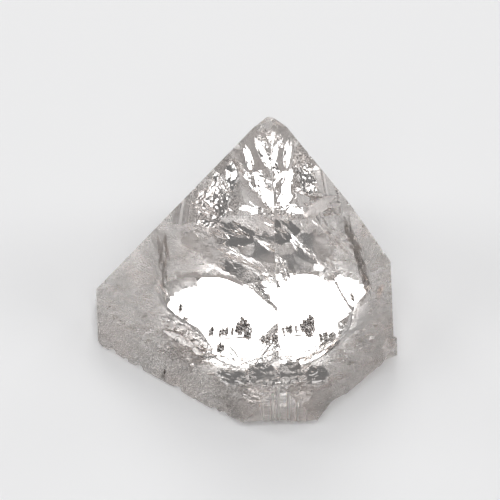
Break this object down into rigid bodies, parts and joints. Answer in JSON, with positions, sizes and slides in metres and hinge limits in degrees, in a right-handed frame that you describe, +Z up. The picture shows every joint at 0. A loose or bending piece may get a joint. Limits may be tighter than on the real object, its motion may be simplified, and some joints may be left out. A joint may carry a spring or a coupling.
{
  "type": "apophyllite point",
  "caption": "Clear four-sided crystal point with a blunt tip, striated corner faces and a broken, stepped base that it stands on.",
  "frame": {"origin": "on the flat cleavage face that the crystal rests on, straight below the tip", "axes": "+Z up along the crystal's four-fold axis to the tip; -Y towards the front corner of the pyramid, +X towards its right corner"},
  "size_m": [0.0297, 0.0322, 0.0247],
  "materials": {
    "clear_apophyllite": "clear, glassy crystal faces with pearly fractures inside; frosted, hackly break underneath"
  },
  "bodies": {
    "root": {"apophyllite_crystal": "clear_apophyllite"}
  },
  "joints": []
}
